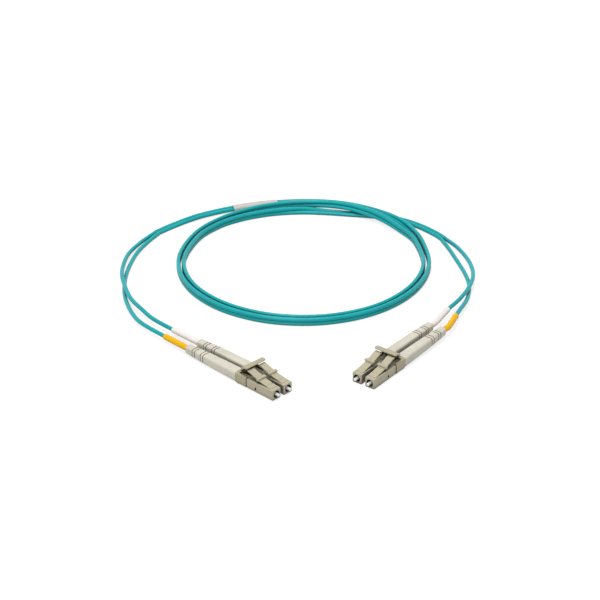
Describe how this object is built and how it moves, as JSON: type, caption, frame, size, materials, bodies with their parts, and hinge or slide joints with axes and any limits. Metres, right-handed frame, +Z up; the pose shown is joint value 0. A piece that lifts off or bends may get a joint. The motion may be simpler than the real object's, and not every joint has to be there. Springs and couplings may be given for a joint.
{
  "type": "fiber optic patch cord",
  "caption": "Coiled aqua two-fibre patch cord with a pair of beige snap-in plugs at each end, off-white boots, a trigger over both latches and yellow and white marker sleeves.",
  "frame": {"origin": "on the floor under the middle of the two plug ends, cord left out", "axes": "+X across from the left end to the right end, +Y from the plugs towards the coil, +Z up from the floor"},
  "size_m": [0.1528, 0.1757, 0.0093],
  "materials": {
    "housing_plastic": "grey-beige moulded plastic, satin",
    "boot_plastic": "off-white soft moulded plastic, satin",
    "ceramic": "polished white zirconia ceramic",
    "steel": "plain steel",
    "jacket": "aqua cord jacket, satin",
    "marker_yellow": "yellow sleeve, satin",
    "marker_white": "white sleeve, satin",
    "label": "off-white wrap, bare"
  },
  "bodies": {
    "cord_and_plug_bodies": {"cord_label": "label", "left_duplex_clip": "housing_plastic", "left_white_boot": "boot_plastic", "left_white_crimp_sleeve": "steel", "left_white_housing": "housing_plastic", "left_white_leg": "jacket", "left_white_marker": "marker_white", "left_white_rear_body": "housing_plastic", "left_white_spring": "steel", "left_yellow_boot": "boot_plastic", "left_yellow_crimp_sleeve": "steel", "left_yellow_housing": "housing_plastic", "left_yellow_leg": "jacket", "left_yellow_marker": "marker_yellow", "left_yellow_rear_body": "housing_plastic", "left_yellow_spring": "steel", "right_duplex_clip": "housing_plastic", "right_white_boot": "boot_plastic", "right_white_crimp_sleeve": "steel", "right_white_housing": "housing_plastic", "right_white_leg": "jacket", "right_white_marker": "marker_white", "right_white_rear_body": "housing_plastic", "right_white_spring": "steel", "right_yellow_boot": "boot_plastic", "right_yellow_crimp_sleeve": "steel", "right_yellow_housing": "housing_plastic", "right_yellow_leg": "jacket", "right_yellow_marker": "marker_yellow", "right_yellow_rear_body": "housing_plastic", "right_yellow_spring": "steel", "zip_coil": "jacket", "zip_run_left": "jacket", "zip_run_right": "jacket"},
    "left_trigger": {"left_trigger": "housing_plastic"},
    "left_yellow_latch": {"left_yellow_latch": "housing_plastic"},
    "left_yellow_ferrule": {"left_yellow_ferrule": "ceramic", "left_yellow_ferrule_holder": "steel"},
    "left_white_latch": {"left_white_latch": "housing_plastic"},
    "left_white_ferrule": {"left_white_ferrule": "ceramic", "left_white_ferrule_holder": "steel"},
    "right_trigger": {"right_trigger": "housing_plastic"},
    "right_yellow_latch": {"right_yellow_latch": "housing_plastic"},
    "right_yellow_ferrule": {"right_yellow_ferrule": "ceramic", "right_yellow_ferrule_holder": "steel"},
    "right_white_latch": {"right_white_latch": "housing_plastic"},
    "right_white_ferrule": {"right_white_ferrule": "ceramic", "right_white_ferrule_holder": "steel"}
  },
  "joints": [
    {"name": "left_trigger_press", "type": "hinge", "parent": "cord_and_plug_bodies", "child": "left_trigger", "pos_m": [-0.02783, -0.00981, 0.00528], "axis": [0.7039, 0.7103, 0], "range_deg": [0, 15], "stiffness_Nm_per_rad": 0.01, "springref_deg": -5.73},
    {"name": "left_yellow_latch_press", "type": "hinge", "parent": "cord_and_plug_bodies", "child": "left_yellow_latch", "pos_m": [-0.01877, -0.02319, 0.00508], "axis": [-0.7039, -0.7103, 0], "range_deg": [0, 7], "stiffness_Nm_per_rad": 0.01},
    {"name": "left_yellow_ferrule_give", "type": "slide", "parent": "cord_and_plug_bodies", "child": "left_yellow_ferrule", "axis": [-0.7103, 0.7039, 0], "range_m": [0, 0.0008], "stiffness_N_per_m": 1500, "springref_m": -0.0035, "deforming": ["left_yellow_spring"]},
    {"name": "left_white_latch_press", "type": "hinge", "parent": "cord_and_plug_bodies", "child": "left_white_latch", "pos_m": [-0.01437, -0.01875, 0.00508], "axis": [-0.7039, -0.7103, 0], "range_deg": [0, 7], "stiffness_Nm_per_rad": 0.01},
    {"name": "left_white_ferrule_give", "type": "slide", "parent": "cord_and_plug_bodies", "child": "left_white_ferrule", "axis": [-0.7103, 0.7039, 0], "range_m": [0, 0.0008], "stiffness_N_per_m": 1500, "springref_m": -0.0035, "deforming": ["left_white_spring"]},
    {"name": "right_trigger_press", "type": "hinge", "parent": "cord_and_plug_bodies", "child": "right_trigger", "pos_m": [0.03037, 0.00039, 0.00545], "axis": [0.7899, -0.6132, 0], "range_deg": [0, 15], "stiffness_Nm_per_rad": 0.01, "springref_deg": -5.73},
    {"name": "right_yellow_latch_press", "type": "hinge", "parent": "cord_and_plug_bodies", "child": "right_yellow_latch", "pos_m": [0.02313, -0.01404, 0.00486], "axis": [-0.7899, 0.6132, 0], "range_deg": [0, 7], "stiffness_Nm_per_rad": 0.01},
    {"name": "right_yellow_ferrule_give", "type": "slide", "parent": "cord_and_plug_bodies", "child": "right_yellow_ferrule", "axis": [0.613, 0.7897, 0.0244], "range_m": [0, 0.0008], "stiffness_N_per_m": 1500, "springref_m": -0.0035, "deforming": ["right_yellow_spring"]},
    {"name": "right_white_latch_press", "type": "hinge", "parent": "cord_and_plug_bodies", "child": "right_white_latch", "pos_m": [0.01819, -0.01021, 0.00486], "axis": [-0.7899, 0.6132, 0], "range_deg": [0, 7], "stiffness_Nm_per_rad": 0.01},
    {"name": "right_white_ferrule_give", "type": "slide", "parent": "cord_and_plug_bodies", "child": "right_white_ferrule", "axis": [0.613, 0.7897, 0.0244], "range_m": [0, 0.0008], "stiffness_N_per_m": 1500, "springref_m": -0.0035, "deforming": ["right_white_spring"]}
  ],
  "couplings": [
    {"joint": "left_yellow_latch_press", "follows": "left_trigger_press", "ratio": 0.46667},
    {"joint": "left_white_latch_press", "follows": "left_trigger_press", "ratio": 0.46667},
    {"joint": "right_yellow_latch_press", "follows": "right_trigger_press", "ratio": 0.46667},
    {"joint": "right_white_latch_press", "follows": "right_trigger_press", "ratio": 0.46667}
  ]
}
